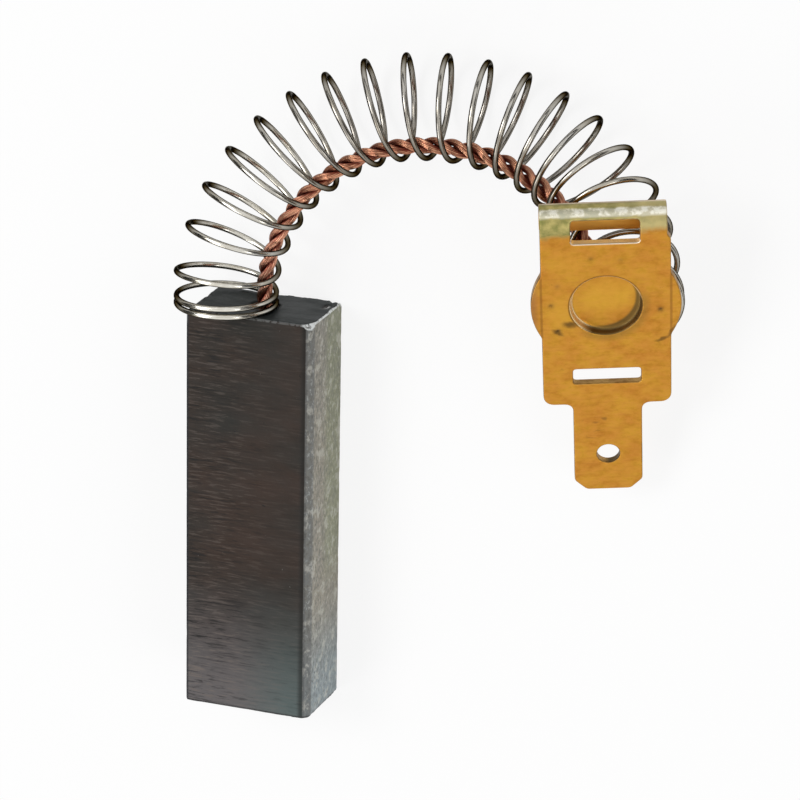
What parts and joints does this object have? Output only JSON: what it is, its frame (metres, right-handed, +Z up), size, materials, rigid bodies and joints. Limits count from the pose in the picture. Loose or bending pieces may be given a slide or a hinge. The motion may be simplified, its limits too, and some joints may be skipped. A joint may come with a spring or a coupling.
{
  "type": "carbon brush with coil spring and terminal",
  "caption": "Rectangular carbon motor brush whose coil spring arches over a twisted copper shunt to a folded brass connector tab.",
  "frame": {"origin": "middle of the block's broad face, on which the brush lies", "axes": "+Z up from the surface it lies on, +Y along the block from the contact face to the spring, +X across the block towards the terminal"},
  "size_m": [0.0505, 0.0667, 0.0153],
  "materials": {
    "carbon": "dark grey pressed carbon with fine cross grinding marks",
    "tamped_copper": "dull tamped copper and graphite powder",
    "copper": "bare copper strand of fine wires, slightly tarnished",
    "spring_steel": "drawn bright spring wire",
    "brass": "rolled brass sheet with light stains",
    "solder": "dull tin solder"
  },
  "bodies": {
    "root": {"carbon_block": "carbon", "tamping_plug": "tamped_copper", "shunt_strand_1": "copper", "shunt_strand_2": "copper", "shunt_strand_3": "copper", "spring": "spring_steel", "terminal_plate": "brass", "shunt_solder": "solder"}
  },
  "joints": []
}
